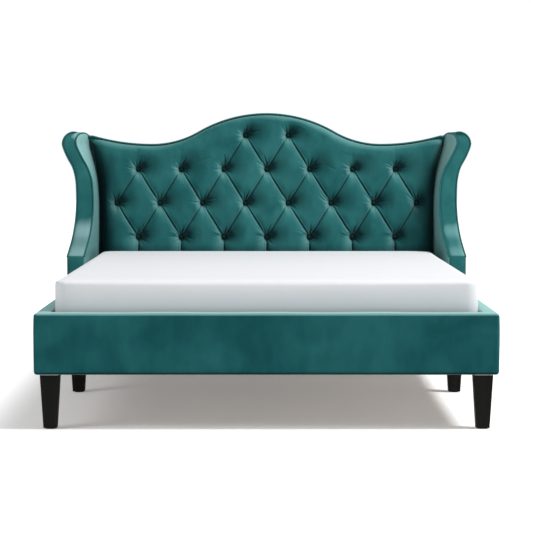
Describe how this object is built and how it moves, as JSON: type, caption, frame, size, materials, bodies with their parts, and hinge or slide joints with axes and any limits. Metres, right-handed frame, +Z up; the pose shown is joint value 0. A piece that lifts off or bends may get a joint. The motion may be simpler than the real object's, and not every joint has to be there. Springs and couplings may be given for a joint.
{
  "type": "wingback bed",
  "caption": "Wingback bed with a deep-buttoned camelback headboard, a low padded velvet frame, tapered legs and a loose mattress.",
  "frame": {"origin": "on the floor, under the middle of the bed's length and width", "axes": "+X to the right seen from the foot, +Y from the foot to the headboard, +Z up"},
  "size_m": [1.8392, 2.197, 1.146],
  "materials": {
    "velvet": "short-pile teal velvet",
    "velvet_welt": "teal velvet cord",
    "mattress_fabric": "white knitted cover",
    "foam": "polyurethane foam",
    "nylon": "moulded natural nylon",
    "black_nylon": "moulded black nylon",
    "steel": "zinc-plated steel",
    "black_lacquer": "matte black lacquered wood",
    "plywood": "bare birch plywood",
    "timber": "planed pine"
  },
  "bodies": {
    "bed_frame": {"beam_hangers": "steel", "bed_bolts": "steel", "centre_beam": "timber", "corner_blocks": "timber", "corner_brackets": "steel", "cross_bearer": "timber", "footboard_core": "timber", "footboard_cover": "velvet", "headboard_back_cover": "velvet", "headboard_board": "plywood", "headboard_border": "velvet", "headboard_bottom_rail": "timber", "headboard_middle_rail": "timber", "headboard_post_left": "timber", "headboard_post_right": "timber", "headboard_top_rail": "timber", "headboard_welt": "velvet_welt", "ledger_left": "timber", "ledger_right": "timber", "leg_front_left": "black_lacquer", "leg_front_right": "black_lacquer", "leg_glides": "black_nylon", "leg_head_left": "black_lacquer", "leg_head_right": "black_lacquer", "leg_mid_left": "black_lacquer", "leg_mid_right": "black_lacquer", "leg_plates": "steel", "leg_screws": "steel", "side_rail_core_left": "timber", "side_rail_core_right": "timber", "side_rail_cover_left": "velvet", "side_rail_cover_right": "velvet", "slat_01": "timber", "slat_02": "timber", "slat_03": "timber", "slat_04": "timber", "slat_05": "timber", "slat_06": "timber", "slat_07": "timber", "slat_08": "timber", "slat_09": "timber", "slat_10": "timber", "slat_11": "timber", "slat_12": "timber", "slat_end_holders": "black_nylon", "tuft_buttons": "velvet", "tuft_ties": "nylon", "tufted_pad": "velvet", "wing_core_left": "timber", "wing_core_right": "timber", "wing_facing_left": "velvet", "wing_facing_right": "velvet", "wing_inner_pad_left": "velvet", "wing_inner_pad_right": "velvet", "wing_outer_cover_left": "velvet", "wing_outer_cover_right": "velvet", "wing_welts_left": "velvet_welt", "wing_welts_right": "velvet_welt"},
    "mattress": {"mattress_cover": "mattress_fabric", "mattress_core": "foam"}
  },
  "joints": [
    {"name": "mattress_lift", "type": "slide", "parent": "bed_frame", "child": "mattress", "axis": [0, 0, 1], "range_m": [0, 0.5]}
  ]
}
